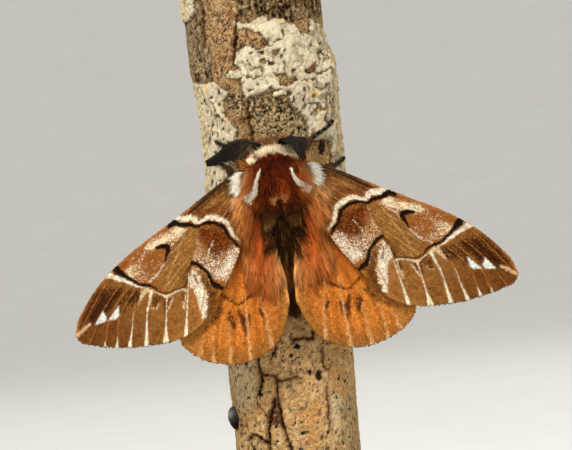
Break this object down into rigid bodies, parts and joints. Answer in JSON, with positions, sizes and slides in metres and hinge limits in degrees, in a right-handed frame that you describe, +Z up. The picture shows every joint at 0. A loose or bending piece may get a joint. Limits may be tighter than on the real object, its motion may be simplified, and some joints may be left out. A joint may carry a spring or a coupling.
{
  "type": "moth on a branch",
  "caption": "Furry moth with patterned brown and orange wings half spread, at rest on a short upright lichened branch on a round stand.",
  "frame": {"origin": "middle of the underside of the stand's base, on the branch's axis", "axes": "+Z up along the branch and towards the moth's head; -Y towards the viewer, out of the moth's back; +X to the viewer's right"},
  "size_m": [0.062, 0.062, 0.0736],
  "materials": {
    "base_wood": "dark stained wood, satin",
    "rod_brass": "brushed",
    "bark": "rough bark with crusts of grey-green lichen",
    "body_coat": "long soft hair",
    "abdomen_coat": "soft dark hair with olive sides",
    "fore_scales": "matt wing scales",
    "hind_scales": "matt wing scales with long hair",
    "feeler_black": "matt dark horn",
    "eye_black": "polished"
  },
  "bodies": {
    "root": {"stand_base": "base_wood", "stand_rod": "rod_brass", "perch_branch": "bark", "thorax": "body_coat", "abdomen": "abdomen_coat", "head": "body_coat", "eye_left": "eye_black", "eye_right": "eye_black", "antenna_left": "feeler_black", "antenna_right": "feeler_black", "forewing_left": "fore_scales", "forewing_right": "fore_scales", "hindwing_left": "hind_scales", "hindwing_right": "hind_scales", "foreleg_left": "feeler_black", "foreleg_right": "feeler_black", "midleg_left": "feeler_black", "midleg_right": "feeler_black", "hindleg_left": "feeler_black", "hindleg_right": "feeler_black"}
  },
  "joints": []
}
